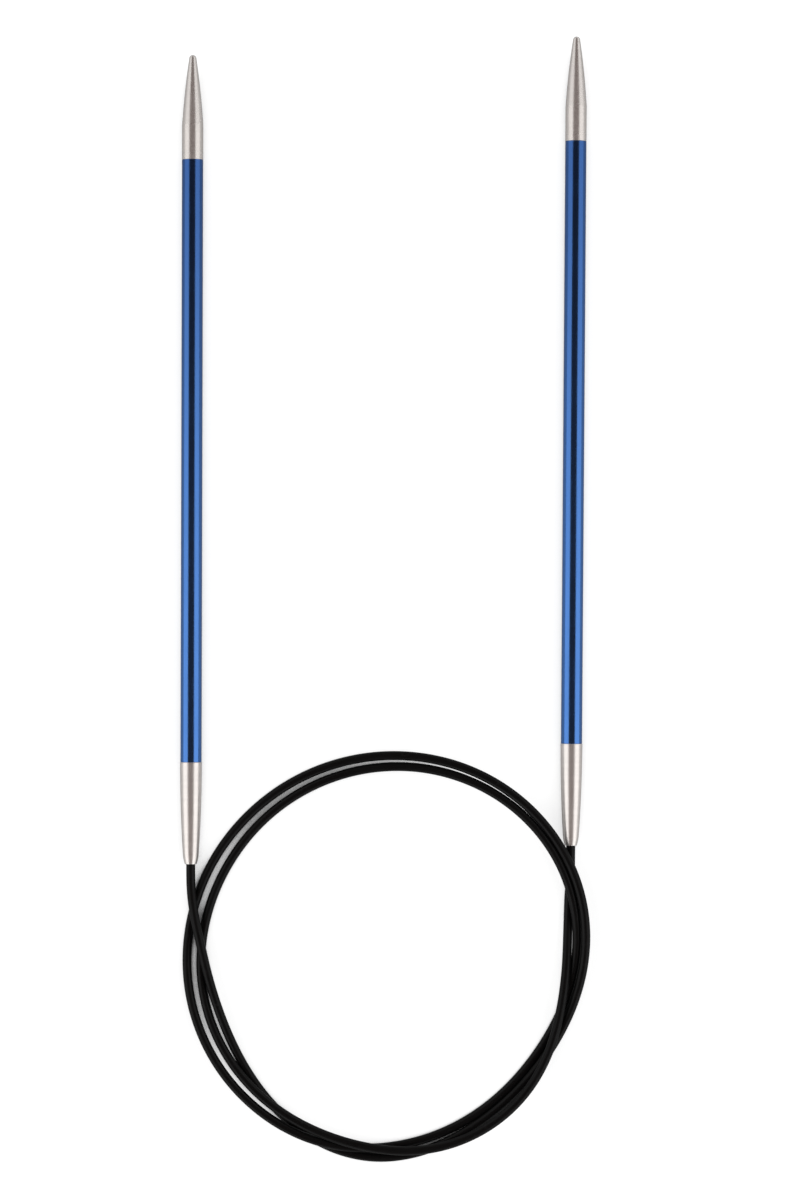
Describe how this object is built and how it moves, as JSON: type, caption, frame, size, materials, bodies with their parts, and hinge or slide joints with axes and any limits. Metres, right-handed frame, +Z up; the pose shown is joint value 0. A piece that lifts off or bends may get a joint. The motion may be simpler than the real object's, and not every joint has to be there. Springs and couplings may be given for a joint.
{
  "type": "circular knitting needle",
  "caption": "Circular knitting needle lying flat: blue tube needles with silver tips and tapered ferrules, joined by a thin black cable in a loose coil.",
  "frame": {"origin": "on the surface it lies on, under the middle of the two needles' box (the cable left out)", "axes": "+Z up from the surface, +Y along the needles towards their tips, +X to the right seen from above with the tips away from the viewer; the coiled cable lies towards -Y"},
  "size_m": [0.0678, 0.1856, 0.0039],
  "materials": {
    "tip_metal": "satin nickel plate, turned",
    "blue_shaft": "satin anodised blue",
    "ferrule_metal": "polished nickel plate",
    "plug_plastic": "natural nylon",
    "sleeve_metal": "bare brass, crimped",
    "black_cable": "glossy black nylon"
  },
  "bodies": {
    "cable": {"cable_coil": "black_cable", "left_cable_lead": "black_cable", "right_cable_lead": "black_cable"},
    "left_cable_end": {"left_cable_end": "black_cable", "left_cable_sleeve": "sleeve_metal"},
    "left_needle": {"left_tip": "tip_metal", "left_shaft_tube": "blue_shaft", "left_ferrule": "ferrule_metal", "left_retaining_plug": "plug_plastic"},
    "right_cable_end": {"right_cable_end": "black_cable", "right_cable_sleeve": "sleeve_metal"},
    "right_needle": {"right_tip": "tip_metal", "right_shaft_tube": "blue_shaft", "right_ferrule": "ferrule_metal", "right_retaining_plug": "plug_plastic"}
  },
  "joints": [
    {"name": "left_cable_bend", "type": "hinge", "parent": "cable", "child": "left_cable_end", "pos_m": [-0.03185, -0.06898, 0.00181], "axis": [0, 0, 1], "range_deg": [-10, 30], "stiffness_Nm_per_rad": 0.01, "deforming": ["left_cable_lead"]},
    {"name": "left_needle_swivel", "type": "hinge", "parent": "left_cable_end", "child": "left_needle", "pos_m": [-0.03183, -0.06038, 0.00181], "axis": [0.0026, 1, 0], "continuous": true},
    {"name": "right_cable_bend", "type": "hinge", "parent": "cable", "child": "right_cable_end", "pos_m": [0.03096, -0.06592, 0.00181], "axis": [0, 0, 1], "range_deg": [-30, 10], "stiffness_Nm_per_rad": 0.01, "deforming": ["right_cable_lead"]},
    {"name": "right_needle_swivel", "type": "hinge", "parent": "right_cable_end", "child": "right_needle", "pos_m": [0.03102, -0.05732, 0.00181], "axis": [0.0073, 1, 0], "continuous": true}
  ]
}
